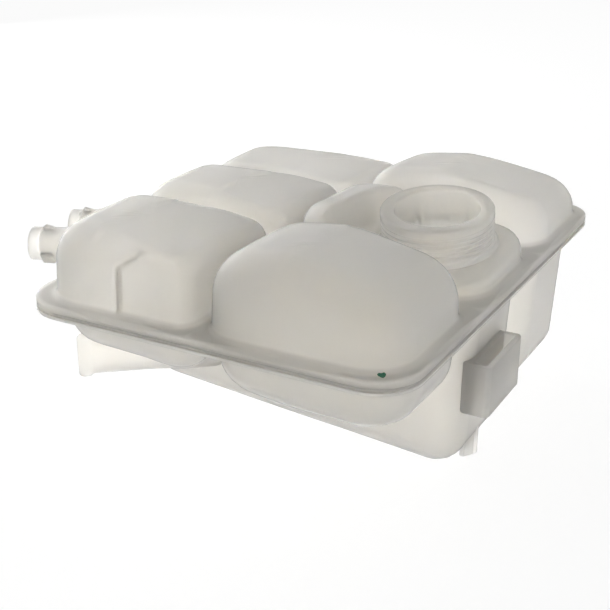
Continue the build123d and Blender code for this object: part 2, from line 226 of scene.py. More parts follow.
def loop(sides, insets, rounds, spacing=all_even):
    """Points and inward normals of four plan lines, set in and joined by round corners."""
    lines = [(p + inward(d) * k, d) for (p, d), k in zip(around(sides), insets)]
    corners = [meet(lines[k - 1], lines[k]) for k in range(4)]
    turns = [np.arccos(np.clip(lines[k - 1][1] @ lines[k][1], -1, 1)) for k in range(4)]
    trims = [r * tan(turn / 2) for r, turn in zip(rounds, turns)]
    points, normals = [], []
    for k in range(4):
        arriving, leaving = lines[k - 1][1], lines[k][1]
        centre = corners[k] - arriving * trims[k] + inward(arriving) * rounds[k]
        for turn in np.linspace(0, turns[k], CORNER_POINTS):
            facing = cos(turn) * inward(arriving) - sin(turn) * arriving
            points.append(centre - facing * rounds[k])
            normals.append(facing)
        start = corners[k] + leaving * trims[k]
        end = corners[(k + 1) % 4] - leaving * trims[(k + 1) % 4]
        for share in spacing[k]:
            points.append(start + (end - start) * share)
            normals.append(inward(leaving))
    return np.array(points), np.array(normals)


def ease(value, start, end):
    """Smooth step from 0 at start to 1 at end."""
    share = np.clip((value - start) / (end - start), 0, 1)
    return share * share * (3 - 2 * share)


def raised(plan, height):
    """Points of the plan, at one height or at a height each."""
    return np.column_stack((plan, np.broadcast_to(height, len(plan))))


def crowned(middle, ridge, lean, left_pitch, right_pitch, shift):
    """Roof height over a cell: a rounded ridge from front to back that leans down to the back."""
    def height(plan):
        across = plan[:, 0] - middle[0] - shift
        along = plan[:, 1] - middle[1]
        pitch = np.where(across > 0, tan(radians(right_pitch)), tan(radians(left_pitch)))
        fall = pitch * (np.sqrt(across**2 + CROWN**2) - CROWN / 2)
        return ridge - fall - along * tan(radians(lean)) - SWELL * (along / SWELL_REACH) ** 2
    return height


def scalloped(sides, outer, spacing):
    """Share of the shallow dip in the flange's edge at each point of a loop, one dip per outer side."""
    dips = []
    lines = around(sides)
    corners = [meet(lines[k - 1], lines[k]) for k in range(4)]
    for k in range(4):
        length = np.linalg.norm(corners[(k + 1) % 4] - corners[k])
        reach = 1 - 2 * SCALLOP_MARGIN / length
        from_middle = (2 * spacing[k] - 1) / reach
        dips += [0] * CORNER_POINTS + list(np.clip(1 - from_middle**2, 0, 1) * outer[k])
    return np.array(dips)


def pillow(sides, gaps, outer_corner, plan_rounds, roof, widest, land, dip, spacing=all_even):
    """Rings of one cell from its patch of the flange, up the wall and over the shoulder."""
    outer = [gap > HALF_GAP for gap in gaps]
    rounds = [FLANGE_CORNER - EDGE_ROUND if k == outer_corner else 0 for k in range(4)]
    rings = []
    feet = [min(FILLET, FILLET_SHARE * gap) for gap in gaps]
    ends = [EDGE_ROUND if out else 0 for out in outer]
    for share, sink in ((0.0, 1.0), (0.35, 0.85), (0.7, 0.25)):
        insets = [end + (gap - foot - end) * share for end, gap, foot in zip(ends, gaps, feet)]
        turned_in = [r + (p + FILLET - r) * share for r, p in zip(rounds, plan_rounds)]
        plan, _ = loop(sides, insets, turned_in, spacing)
        rings.append(raised(plan, land - dip * sink * scalloped(sides, outer, spacing)))
    for turn in np.radians((0, 25, 50, 75)):
        insets = [gap - foot * (1 - sin(turn)) for gap, foot in zip(gaps, feet)]
        plan, _ = loop(sides, insets, [p + FILLET * (1 - sin(turn)) for p in plan_rounds], spacing)
        rings.append(raised(plan, land + FILLET * (1 - cos(turn))))
    foot_top = land + FILLET
    wall, facing = loop(sides, gaps, plan_rounds, spacing)
    shoulder = np.minimum(widest(wall), roof(wall) - foot_top - LEAST_WALL)
    height = roof(wall) - shoulder - foot_top
    for share in np.linspace(0, 1, WALL_ROWS):
        plan = wall + facing * (height * share * tan(radians(DRAFT)))[:, None]
        rings.append(raised(plan, foot_top + height * share))
    wall_top = plan
    for turn in np.radians(np.arange(10, 91, 10)):
        plan = wall_top + facing * (shoulder * (1 - cos(turn)))[:, None]
        rings.append(raised(plan, roof(plan) - shoulder * (1 - sin(turn))))
    return rings


def shoulders(left, right):
    """Shoulder radius round a cell, with its own value at the left and right ends."""
    def radius(plan):
        x = plan[:, 0]
        share = (x - x.min()) / (x.max() - x.min())
        at_left = (left - SHOULDER) * ease(-share, *LEFT_FADE)
        at_right = (right - SHOULDER) * ease(share, *RIGHT_FADE)
        return SHOULDER + at_left + at_right
    return radius


def stitch(mesh, rings, closed_end):
    """Adds rings to a mesh as strips of quads, with a fan of triangles at a closed end."""
    rows = [[mesh.verts.new(p) for p in ring] for ring in rings]
    count = len(rows[0])
    for outer, inner in zip(rows, rows[1:]):
        for k in range(count):
            mesh.faces.new((outer[k], outer[(k + 1) % count], inner[(k + 1) % count], inner[k]))
    if closed_end is not None:
        tip = mesh.verts.new(closed_end)
        for k in range(count):
            mesh.faces.new((rows[-1][k], rows[-1][(k + 1) % count], tip))


def roofed(mesh, rings, middle, roof):
    """Adds a cell to a mesh, closed from its last ring to the middle of its roof."""
    last = rings[-1][:, :2]
    for share in (0.2, 0.4, 0.6, 0.8):
        plan = last + (middle - last) * share
        rings.append(raised(plan, roof(plan)))
    stitch(mesh, rings, (*middle, roof(middle[None])[0]))


upper_mesh = bmesh.new()
cells = [
    # sides front, right, back, left; gaps to the wall; outer corner; plan rounds from the front left;
    # roof; shoulders at the left and right ends
    ((front_edge, valley, front_groove, left_edge), (UPPER_LAND, HALF_GAP, HALF_GAP, LEFT_LAND), 0,
     (20, 11, 10, 20), (38.3, 3.0, 2.0, 9.0, -8.0), (18.5, 8.0)),
    ((front_edge, right_edge, front_groove, valley), (UPPER_LAND, UPPER_LAND, HALF_GAP, HALF_GAP), 1,
     (20, 20, 20, 20), (40.9, 3.0, 8.0, 13.0, -8.0), (18.5, 16.0)),
    ((front_groove, valley, back_groove, left_edge), (HALF_GAP, HALF_GAP, HALF_GAP, LEFT_LAND), None,
     (20, 11, 10, 20), (32.0, 4.0, 1.0, 7.0, 4.0), (18.5, 8.0)),
    ((back_groove, valley, back_edge, left_edge), (HALF_GAP, HALF_GAP, UPPER_LAND, LEFT_LAND), 3,
     (20, 11, 11, 20), (21.0, 5.0, 2.0, 4.0, 12.0), (16.0, 8.0)),
    ((back_groove, right_edge, back_edge, valley), (HALF_GAP, UPPER_LAND, UPPER_LAND, HALF_GAP), 2,
     (20, 20, 20, 20), (33.5, 5.0, 8.0, 11.0, -8.0), (16.0, 13.0)),
]
PANEL_LEFT, PANEL_SHIFT, PANEL_STEP, PANEL_EDGE = -44.9, 12.0, 1.6, 0.4
PANEL_TURN, PANEL_TOP = 23.0, 34.0
PANEL_FADE, FRONT_FACING = (27.0, 36.0), (0.8, 1.0)
RINGS_BELOW_STEP = 4
for number, (sides, gaps, outer_corner, plan_rounds, roof_sizes, shoulder_sizes) in enumerate(cells):
    foot_plan, facing = loop(sides, gaps, [0] * 4)
    middle = foot_plan.mean(axis=0)
    roof = crowned(middle, *roof_sizes)
    rings = pillow(
        sides, gaps, outer_corner, plan_rounds, roof, shoulders(*shoulder_sizes), LAND_HEIGHT, SCALLOP_DIP,
    )
    if number == 0:
        # the right part of the front wall is set back by a step that swings to the right at the shoulder
        stepped = rings[RINGS_BELOW_STEP:]
        for ring in stepped:
            x, z = ring[:, 0], ring[:, 2]
            line = PANEL_LEFT + PANEL_SHIFT * ease(z, PANEL_TURN, PANEL_TOP)
            fade = (1 - ease(z, *PANEL_FADE)) * ease(facing[:, 1], *FRONT_FACING)
            ring[:, 1] += PANEL_STEP * ease(x, line - PANEL_EDGE, line + PANEL_EDGE) * fade
        front_wall = np.array([ring[CORNER_POINTS:CORNER_POINTS + SIDE_POINTS] for ring in stepped])
    roofed(upper_mesh, rings, middle, roof)

# Right middle cell, of the same moulding: a low shelf that carries the filler neck, with a high left end
# that is hollowed round the neck to clear the cap.
SHELF_ROUND = 20.0
NECK_LEAN = radians(8)
NECK_FROM_RIGHT, NECK_PLACE, NECK_TOP = 42.5, 1.5, 32.5
NECK_HEIGHT, COLLAR_FOOT = 18.0, 29.6
HUMP_TOP, HUMP_LEAN = 33.0, radians(4)
HUMP_END, HUMP_FULL = 32.0, 18.0
HOLLOW_START, HOLLOW_END, HOLLOW_FRONT = 33.0, 43.0, 1.5
SHELF_SHOULDER, HUMP_SHOULDER, SHOULDER_ROOM = 8.0, 12.0, 0.9
SHELF_ROWS = 15
neck_rim = np.array((edge_x - NECK_FROM_RIGHT, NECK_PLACE, NECK_TOP))
neck_up = np.array((0, -sin(NECK_LEAN), cos(NECK_LEAN)))
neck_back = np.array((0, cos(NECK_LEAN), sin(NECK_LEAN)))
neck_right = np.array((1.0, 0.0, 0.0))
neck_foot = neck_rim - neck_up * NECK_HEIGHT


def hump_share(plan):
    """1 on the high end of the shelf, 0 on the shelf and in the hollow round the neck."""
    behind = np.clip(plan[:, 1] - neck_foot[1] + HOLLOW_FRONT, 0, None)
    away = np.hypot(plan[:, 0] - neck_foot[0], behind)
    return ease(away, HOLLOW_START, HOLLOW_END) * ease(-plan[:, 0], -HUMP_END, -HUMP_FULL)


def shelf(plan):
    """Height of the shelf, square to the neck, and of its high end."""
    low = neck_foot[2] + (plan[:, 1] - neck_foot[1]) * tan(NECK_LEAN)
    high = HUMP_TOP - plan[:, 1] * tan(HUMP_LEAN)
    return low + (high - low) * hump_share(plan)


def shelf_shoulder(plan):
    """Shoulder radius round the shelf, kept within the room that the neck's collar leaves."""
    room = np.hypot(plan[:, 0] - neck_foot[0], plan[:, 1] - neck_foot[1]) - COLLAR_FOOT
    wanted = SHELF_SHOULDER + (HUMP_SHOULDER - SHELF_SHOULDER) * hump_share(plan)
    return np.minimum(wanted, SHOULDER_ROOM * room)


rings = pillow(
    (front_groove, right_edge, back_groove, valley), (HALF_GAP, UPPER_LAND, HALF_GAP, HALF_GAP), None,
    (SHELF_ROUND,) * 4, shelf, shelf_shoulder, LAND_HEIGHT, SCALLOP_DIP,
)
last = rings[-1][:, :2]
turns = np.arctan2(last[:, 1] - neck_foot[1], last[:, 0] - neck_foot[0])
spokes = np.outer(np.cos(turns), neck_right) + np.outer(np.sin(turns), neck_back)
collar_plan = (neck_foot + spokes * COLLAR_FOOT)[:, :2]
for share in np.linspace(0, 1, SHELF_ROWS)[1:]:
    plan = last + (collar_plan - last) * share
    rings.append(raised(plan, shelf(plan)))
stitch(upper_mesh, rings, None)

# Filler neck, moulded with the shelf and leaning to the front, with an outside thread for the cap. It is
# a closed tube of its own here, because it shows as solid plastic. The thread runs out at both ends.
NECK_RADIUS, NECK_BORE = 27.2, 20.3
THREAD_PITCH, THREAD_DEPTH, THREAD_RUN = 2.2, 0.7, 1.0
THREAD_START, THREAD_END = -15.6, -3.2
RIDGE_HEIGHT, RIDGE_CUT, RIDGE_FULL = 1.6, 0.5, 0.8
ROWS_PER_PITCH = 8
collar = [
    (COLLAR_FOOT, -18.6), (COLLAR_FOOT, -NECK_HEIGHT), (29.0, -17.7), (28.7, -17.2),
    (28.6, -16.7), (28.1, -16.4), (27.5, -16.2), (NECK_RADIUS, -15.9),
]
rim_and_bore = [
    (NECK_RADIUS, -2.8), (NECK_RADIUS, -0.9), (26.9, -0.3), (26.3, 0),
    (21.2, 0), (20.6, -0.25), (NECK_BORE, -0.9), (NECK_BORE, -NECK_HEIGHT - WALL),
]
rings = [neck_rim + spokes * r + neck_up * h for r, h in collar]
thread_rows = int((THREAD_END - THREAD_START) / THREAD_PITCH * ROWS_PER_PITCH)
for row in range(thread_rows + 1):
    height = THREAD_START + row * THREAD_PITCH / ROWS_PER_PITCH
    phase = (height / THREAD_PITCH - turns / (2 * pi)) % 1.0
    ridge = np.clip(RIDGE_HEIGHT * (1 - np.abs(2 * phase - 1)) - RIDGE_CUT, 0, 1) ** RIDGE_FULL
    starting = ease(height, THREAD_START, THREAD_START + THREAD_RUN)
    ending = ease(height, THREAD_END - THREAD_RUN, THREAD_END)
    radius = NECK_RADIUS - THREAD_DEPTH * (1 - ridge) * (starting * (1 - ending))
    rings.append(neck_rim + spokes * radius[:, None] + neck_up * height)
rings += [neck_rim + spokes * r + neck_up * h for r, h in rim_and_bore]
mesh = bmesh.new()
stitch(mesh, rings + rings[:1], None)
bmesh.ops.remove_doubles(mesh, verts=mesh.verts[:], dist=0.001)
placed("filler_neck", mesh, polypropylene)

# Flange of the upper half: the patches of the cells are joined along the grooves that they share, and the
# outer edge is rounded over, drawn down to the weld and set in above its bead. Shade is painted on the foot
# of the walls and the land, and deeper in the recess above the bead, for light that both flanges hold back.
WELD_ABOVE, WELD_BELOW, WELD_INSET = 0.5, 1.4, 1.4
# painted shade: kept off the flange's edge band, held below a height, and deeper at the weld
EDGE_AREA, SHADE_TOP, WELD_SHADE = 1.2, 5.2, 1.6
HAIR = 0.01
NECK_CLEAR = 1.3
outer_lines = around((front_edge, right_edge, back_edge, left_edge))


def joined(mesh):
    """Joins the patches of a half where their edges meet."""
    bmesh.ops.remove_doubles(mesh, verts=mesh.verts[:], dist=0.01)
    bmesh.ops.dissolve_degenerate(mesh, edges=mesh.edges[:], dist=0.001)


def edge_depths(x, y):
    """Distance of a point of the plan from each of the flange's four sides."""
    return [float(inward(d) @ (np.array((x, y)) - p)) for p, d in outer_lines]


def edge_normal(x, y):
    """Outward direction of the flange's edge at a point on it."""
    depths = edge_depths(x, y)
    first, second = sorted(range(4), key=lambda k: depths[k])[:2]
    if depths[second] >= FLANGE_CORNER:
        return -inward(outer_lines[first][1])
    pull = sum((FLANGE_CORNER - depths[k]) * -inward(outer_lines[k][1]) for k in (first, second))
    return pull / np.linalg.norm(pull)


def from_edge(x, y):
    """Distance of a point of the plan from the flange's outer edge."""
    near, next_near = sorted(edge_depths(x, y))[:2]
    if next_near < FLANGE_CORNER:
        return FLANGE_CORNER - np.hypot(FLANGE_CORNER - near, FLANGE_CORNER - next_near)
    return near


def draw_down(mesh, rim, land, weld):
    """Rounds over the outer edge of a half, draws it down to the weld and sets it in above the bead."""
    steps = (
        (EDGE_OUT, EDGE_DOWN, 0), (EDGE_DOWN, EDGE_OUT, 0),
        (0.0, land, weld), (-WELD_INSET, 0, 0), (0.0, weld, 0),
    )
    for step, drop, lowest in steps:
        below = {}
        for v in (v for e in rim for v in e.verts):
            if v not in below:
                away = edge_normal(v.co.x, v.co.y) * step
                below[v] = mesh.verts.new((v.co.x + away[0], v.co.y + away[1], max(v.co.z - drop, lowest)))
        strip = [mesh.faces.new((*e.verts, below[e.verts[1]], below[e.verts[0]])) for e in rim]
        rim = [f.edges[2] for f in strip]


def face_out(mesh, upward):
    """Turns the faces of an open half outward, up for the upper half and down for the lower one."""
    bmesh.ops.recalc_face_normals(mesh, faces=mesh.faces[:])
    if (sum(f.normal.z * f.calc_area() for f in mesh.faces) > 0) != upward:
        bmesh.ops.reverse_faces(mesh, faces=mesh.faces[:])


def store_painted_shade(piece, painted_shade_at):
    """Stores painted shade at each point of a piece, from the point's place in the drawing."""
    painted_shade_stock = [painted_shade_at((v.co - weld_middle) / MM) for v in piece.data.vertices]
    piece.data.attributes.new("painted_shade_stock", "FLOAT", "POINT").data.foreach_set("value", painted_shade_stock)


def walled(skin):
    """Gives the skin of a half its thickness, inwards."""
    wall = skin.modifiers.new("wall", "SOLIDIFY")
    wall.thickness = SKIN * MM
    wall.offset = -1


def upper_painted_shade(at):
    """Painted shade on the upper half: most in the recess at the weld, some on the land and the foot of the
    walls.
    """
    if from_edge(at.x, at.y) < EDGE_AREA or at.z > SHADE_TOP:
        return 0.0
    return WELD_SHADE if at.z < WELD_ABOVE + HAIR else 1.0


joined(upper_mesh)
neck_middle = Vector(neck_rim[:2])
rim = [
    e for e in upper_mesh.edges
    if e.is_boundary and (e.verts[0].co.xy - neck_middle).length > NECK_CLEAR * NECK_RADIUS
]
draw_down(upper_mesh, rim, LAND_HEIGHT, WELD_ABOVE)
face_out(upper_mesh, True)
upper_skin = placed("upper_shell_skin", upper_mesh, polypropylene, closed=False)
# painted shade on the land, the foot of the walls and the weld recess
store_painted_shade(upper_skin, upper_painted_shade)
walled(upper_skin)
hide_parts("upper_shell")

# Behind the step the wall of the front left cell is thicker, which shows as a soft dark line from outside:
# a narrow rib of the same moulding, that runs out where the step meets the roof.
RIB_WIDTH, RIB_DEPTH, RIB_LEAST, RIB_RUN = 1.2, 2.6, 0.1, 2.0
RIB_FOOT, RIB_ROWS = 1.0, 40
heights = np.linspace(LAND_HEIGHT + RIB_FOOT, PANEL_TOP, RIB_ROWS)
line = PANEL_LEFT + PANEL_SHIFT * ease(heights, PANEL_TURN, PANEL_TOP)
slope = np.gradient(line, heights)
side = np.column_stack((np.ones_like(slope), np.zeros_like(slope), -slope)) / np.hypot(1, slope)[:, None]
reaches = RIB_LEAST + RIB_DEPTH * (1 - ease(heights, PANEL_TOP - RIB_RUN, PANEL_TOP))
rib_rings = []
for x, z, to_right, reach in zip(line, heights, side * RIB_WIDTH / 2, reaches):
    rise = [np.interp(x, row[:, 0], row[:, 2]) for row in front_wall]
    run = [np.interp(x, row[:, 0], row[:, 1]) for row in front_wall]
    middle = np.array((x, np.interp(z, rise, run) + SKIN, z))
    inner = middle + np.array((0, reach, 0))
    rib_rings.append((middle - to_right, middle + to_right, inner + to_right, inner - to_right))
mesh = bmesh.new()
stitch(mesh, rib_rings, None)
bmesh.ops.holes_fill(mesh, edges=mesh.edges[:], sides=4)
placed("panel_step", mesh, polypropylene)

# Upper hose stubs, moulded on the left wall of the front left cell: a tapered tube with a groove and an
# end ring for a quick-fit hose, a snap lug on top and a key low on its front.
STUB_RADIUS, STUB_BORE, STUB_FOOT, STUB_ROOT = 7.7, 5.2, 8.6, 5.0
STUB_SWING = radians(20)
STUB_RISE, STUB_FRONT, STUB_SPACING = 21.0, 23.5, 28.0
FRONT_STUB_LENGTH, BACK_STUB_LENGTH = 17.0, 13.5
RING_WIDTH, GROOVE_WIDTH, GROOVE_RADIUS = 5.0, 1.2, 7.0
LUG_LENGTH, LUG_HALF, LUG_HEIGHT, LUG_TAIL = 5.0, 2.0, 1.4, 0.1
KEY_TURN, KEY_LENGTH, KEY_HALF, KEY_HEIGHT = radians(-90 - 55), 6.0, 3.0, 1.2
SUNK = 1.5
AROUND = 48
SOFT_EDGE = 0.35
up = np.array((0.0, 0.0, 1.0))


def swung(angle):
    """Directions along and across a tube that points left and is swung to the front."""
    return np.array((-cos(angle), -sin(angle), 0.0)), np.array((-sin(angle), cos(angle), 0.0))


def turned(mesh, origin, along, across, up, profile):
    """Adds a tube turned about an axis from (distance along it, radius) points of a closed profile."""
    rows = []
    for distance, radius in profile:
        turns = np.linspace(0, 2 * pi, AROUND, endpoint=False)
        ring = origin + along * distance + radius * (
            np.outer(np.cos(turns), across) + np.outer(np.sin(turns), up)
        )
        rows.append([mesh.verts.new(p) for p in ring])
    for first, second in zip(rows, rows[1:] + rows[:1]):
        for k in range(AROUND):
            mesh.faces.new((first[k], first[(k + 1) % AROUND], second[(k + 1) % AROUND], second[k]))


def block(mesh, corners):
    """Adds a closed block from four corners of one face and the four behind them, with soft edges."""
    verts = [mesh.verts.new(c) for c in corners]
    faces = [(0, 1, 2, 3), (7, 6, 5, 4), (0, 4, 5, 1), (1, 5, 6, 2), (2, 6, 7, 3), (3, 7, 4, 0)]
    made = [mesh.faces.new([verts[k] for k in face]) for face in faces]
    edges = list(dict.fromkeys(e for f in made for e in f.edges))
    bmesh.ops.bevel(mesh, geom=edges, offset=SOFT_EDGE, segments=2, affect="EDGES", clamp_overlap=True)


def on_stub(mesh, root, out, across, ends, half):
    """Adds a block that stands on a stub, from its (place along the stub, height) at each end."""
    low = root + out * (STUB_RADIUS - SUNK)
    corners = []
    for end, height in ends:
        high = root + out * (STUB_RADIUS + height)
        corners += [low + end - across * half, low + end + across * half]
        corners += [high + end + across * half, high + end - across * half]
    block(mesh, corners)


along, across = swung(STUB_SWING)
key_out = across * cos(KEY_TURN) + up * sin(KEY_TURN)
key_side = across * -sin(KEY_TURN) + up * cos(KEY_TURN)
for name, from_front, length in (
    ("front_stub", STUB_FRONT, FRONT_STUB_LENGTH),
    ("back_stub", STUB_FRONT + STUB_SPACING, BACK_STUB_LENGTH),
):
    y_root = UPPER_LAND - edge_y + from_front
    x_root = left_edge[0][0] - (y_root + edge_y) * tan(radians(LEFT_FLARE)) + LEFT_LAND
    root = np.array((x_root, y_root, STUB_RISE))
    ring_start = length - RING_WIDTH
    groove_start = ring_start - GROOVE_WIDTH
    mesh = bmesh.new()
    turned(mesh, root, along, across, up, [
        (-STUB_ROOT, STUB_BORE), (-STUB_ROOT, STUB_FOOT), (-0.5, STUB_FOOT), (1.2, 8.25), (3.0, 8.1),
        (groove_start - 0.2, STUB_RADIUS), (groove_start, STUB_RADIUS - 0.2),
        (groove_start + 0.1, GROOVE_RADIUS), (ring_start - 0.1, GROOVE_RADIUS),
        (ring_start, STUB_RADIUS - 0.2), (ring_start + 0.2, STUB_RADIUS),
        (length - 0.5, STUB_RADIUS), (length - 0.15, STUB_RADIUS - 0.15), (length, STUB_RADIUS - 0.5),
        (length, STUB_BORE + 0.4), (length - 0.4, STUB_BORE),
    ])
    lug_ends = ((along * groove_start, LUG_HEIGHT), (along * (groove_start - LUG_LENGTH), LUG_TAIL))
    on_stub(mesh, root, up, across, lug_ends, LUG_HALF)
    key_ends = ((along * groove_start, KEY_HEIGHT), (along * (groove_start - KEY_LENGTH), KEY_HEIGHT))
    on_stub(mesh, root, key_out, key_side, key_ends, KEY_HALF)
    placed(name, mesh, polypropylene)

# Lower half: deep bowls under the same flange, drawn downwards from the weld with the same wall. A weld
# bead stands in from the flange's edge. The trough runs the full width and falls to the right.
LOWER_LAND_HEIGHT = 3.2
LOWER_LAND = 9.0
TROUGH_FRONT, TROUGH_BACK = -44.25, 40.25
trough_front, trough_back = crossways(TROUGH_FRONT), crossways(TROUGH_BACK)


def split_at(groove):
    """Spacing along the full width that matches the points of the two bowls before or behind it."""
    start, end, parting = meet(left_edge, groove), meet(right_edge, groove), meet(valley, groove)
    share = np.linalg.norm(parting - start) / np.linalg.norm(end - start)
    return np.concatenate((even * share, [share], share + even * (1 - share)))


def falling(middle, depth, fall):
    """Depth of a bowl's floor, which falls to the right."""
    return lambda plan: depth + (plan[:, 0] - middle[0]) * tan(radians(fall))


def lower_painted_shade(at):
    """Painted shade on the lower half, on the weld bead alone, for a dark line at the weld."""
    weld = at.z > -WELD_BELOW - HAIR and from_edge(at.x, at.y) > EDGE_AREA
    return WELD_SHADE if weld else 0.0


bowls = [
    # sides, gaps, outer corner and plan rounds as above; depth and fall; shoulders; spacing
    ((front_edge, valley, trough_front, left_edge), (LOWER_LAND, HALF_GAP, HALF_GAP, 12.0), 0,
     (24, 16, 16, 20), (20.5, 4.0), (15.0, 14.0), all_even),
    ((front_edge, right_edge, trough_front, valley), (LOWER_LAND, 6.0, HALF_GAP, HALF_GAP), 1,
     (22, 26, 20, 20), (28.5, 3.5), (18.5, 18.5), all_even),
    ((trough_front, right_edge, trough_back, left_edge), (HALF_GAP, LOWER_LAND, HALF_GAP, LOWER_LAND), None,
     (20, 20, 20, 20), (79.5, 5.0), (16.0, 17.0),
     (split_at(trough_front), even, 1 - split_at(trough_back)[::-1], even)),
    ((trough_back, valley, back_edge, left_edge), (HALF_GAP, HALF_GAP, LOWER_LAND, LOWER_LAND), 3,
     (20, 20, 20, 20), (43.0, 0.0), (16.0, 16.0), all_even),
    ((trough_back, right_edge, back_edge, valley), (HALF_GAP, LOWER_LAND, LOWER_LAND, HALF_GAP), 2,
     (20, 20, 20, 20), (77.0, 0.0), (16.0, 16.0), all_even),
]
lower_mesh = bmesh.new()
for sides, gaps, outer_corner, plan_rounds, floor_sizes, shoulder_sizes, spacing in bowls:
    foot_plan, _ = loop(sides, gaps, [0] * 4)
    middle = foot_plan.mean(axis=0)
    bottom = falling(middle, *floor_sizes)
    rings = pillow(
        sides, gaps, outer_corner, plan_rounds, bottom, shoulders(*shoulder_sizes),
        LOWER_LAND_HEIGHT, 0, spacing,
    )
    roofed(lower_mesh, rings, middle, bottom)
joined(lower_mesh)
draw_down(lower_mesh, [e for e in lower_mesh.edges if e.is_boundary], LOWER_LAND_HEIGHT, WELD_BELOW)
for v in lower_mesh.verts:
    v.co.z = -v.co.z
face_out(lower_mesh, False)
lower_skin = placed("lower_shell_skin", lower_mesh, polypropylene, closed=False)
# painted shade on the weld bead
store_painted_shade(lower_skin, lower_painted_shade)
walled(lower_skin)
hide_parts("lower_shell")

# Inspection mark: a dab of dark green marking ink, pressed on the flange at the front right corner by hand
# after the leak test. It is flat at the back, where the marker was lifted, and a little glossy.
DAB_X, DAB_Y = 81.6, -121.1
DAB_WIDTH, DAB_LENGTH, DAB_TURN = 3.6, 3.6, radians(37)
DAB_EDGE, DAB_FILM = 0.06, 0.08
ABOVE_ALL = 60.0
dab = np.array((
    (-0.5, 0.28), (-0.3, 0.42), (0.0, 0.38), (0.32, 0.45), (0.5, 0.3),
    (0.44, 0.02), (0.24, -0.3), (0.05, -0.5), (-0.16, -0.38), (-0.4, -0.02),
)) * (DAB_WIDTH, DAB_LENGTH)
ink = bpy.data.materials.new("green_marking_ink")
ink.use_nodes = True
tree = ink.node_tree
tree.nodes.clear()
glossy = node(tree, "ShaderNodeBsdfPrincipled", Base_Color=linear("#1c6248"), Roughness=0.4, IOR=1.5)
node(tree, "ShaderNodeOutputMaterial", {"Surface": glossy.outputs["BSDF"]})
upper_surface = BVHTree.FromPolygons(
    [v.co for v in upper_skin.data.vertices], [f.vertices for f in upper_skin.data.polygons],
)


def on_upper(plan, film):
    """Points a film's thickness above the upper half, over points of the plan."""
    found = []
    for x, y in plan:
        above = weld_middle + Vector((x, y, ABOVE_ALL)) * MM
        hit = upper_surface.ray_cast(above, Vector((0, 0, -1)))[0]
        found.append((x, y, (hit.z - weld_middle.z) / MM + film))
    return found


turn = np.array(((cos(DAB_TURN), sin(DAB_TURN)), (-sin(DAB_TURN), cos(DAB_TURN))))
middle = np.array((DAB_X, DAB_Y))
dab_rings = [
    on_upper(middle + dab * share @ turn, film)
    for share, film in ((1.0, 0.0), (0.93, DAB_EDGE), (0.5, DAB_FILM))
]
mesh = bmesh.new()
stitch(mesh, dab_rings, on_upper([middle], DAB_FILM)[0])
placed("inspection_mark", mesh, ink)

# Outlet spigot, moulded on the front wall of the trough and pointing to the front left: a plain tube with
# a bead near its end that holds the hose.
SPIGOT_RADIUS, SPIGOT_BORE, SPIGOT_BEAD, SPIGOT_LENGTH = 9.7, 7.4, 1.3, 57.5
SPIGOT_SWING = radians(40)
SPIGOT_FROM_LEFT, SPIGOT_DROP = 34.0, 48.0
SPIGOT_ROOT, SPIGOT_FOOT = 14.0, 11.2
spigot_root = np.array((
    meet(left_edge, trough_front)[0] + LOWER_LAND + SPIGOT_FROM_LEFT, TROUGH_FRONT + HALF_GAP, -SPIGOT_DROP,
))
bead = SPIGOT_RADIUS + SPIGOT_BEAD
along, across = swung(SPIGOT_SWING)
mesh = bmesh.new()
turned(mesh, spigot_root, along, across, up, [
    (-SPIGOT_ROOT, SPIGOT_BORE), (-SPIGOT_ROOT, SPIGOT_FOOT), (4.0, SPIGOT_FOOT),
    (10.0, 10.5), (18.0, 10.0), (30.0, SPIGOT_RADIUS), (50.0, SPIGOT_RADIUS),
    (51.0, 10.3), (51.8, 10.9), (52.6, bead), (55.0, bead), (56.2, 10.7), (57.0, 10.1), (57.4, 9.5),
    (SPIGOT_LENGTH, 9.0), (SPIGOT_LENGTH, 7.9), (57.1, SPIGOT_BORE),
])
placed("outlet_spigot", mesh, polypropylene)

# Bracket socket on the right wall of the trough: a sleeve open above and below, that slides down over a
# tongue on the car body. Its corners and rims are lightly rounded, and its thick walls carry painted shade.
SOCKET_WIDTH, SOCKET_HEIGHT, SOCKET_REACH, SOCKET_TOP = 44.0, 26.0, 10.0, 28.0
SOCKET_SLOT, SOCKET_WALL, SOCKET_CORNER, SLOT_CORNER = 5.6, 2.8, 3.0, 0.6
SOCKET_SUNK, SOCKET_FROM_FRONT = 4.5, 9.5
RIM_ROUND, RIM_BREAK = 0.5, 0.15
trough_right = edge_x - LOWER_LAND
socket_front = TROUGH_FRONT + HALF_GAP + SOCKET_FROM_FRONT


def sleeve_ring(left, right, front, back, corner):
    """Points round an upright rectangle with round corners."""
    points = []
    for x, y, start in (
        (right - corner, back - corner, 0), (left + corner, back - corner, 90),
        (left + corner, front + corner, 180), (right - corner, front + corner, 270),
    ):
        for turn in np.radians(np.linspace(start, start + 90, 7)):
            points.append((x + corner * cos(turn), y + corner * sin(turn)))
    return np.array(points)


def outside(grow):
    """Plan of the sleeve's outside, grown by a distance."""
    return sleeve_ring(
        trough_right - SOCKET_SUNK - grow, trough_right + SOCKET_REACH + grow,
        socket_front - grow, socket_front + SOCKET_WIDTH + grow, SOCKET_CORNER + grow,
    )


def slot(grow):
    """Plan of the slot for the tongue, grown by a distance."""
    right = trough_right + SOCKET_REACH - SOCKET_WALL + grow
    return sleeve_ring(
        right - SOCKET_SLOT - 2 * grow, right, socket_front + SOCKET_WALL - grow,
        socket_front + SOCKET_WIDTH - SOCKET_WALL + grow, SLOT_CORNER + grow,
    )


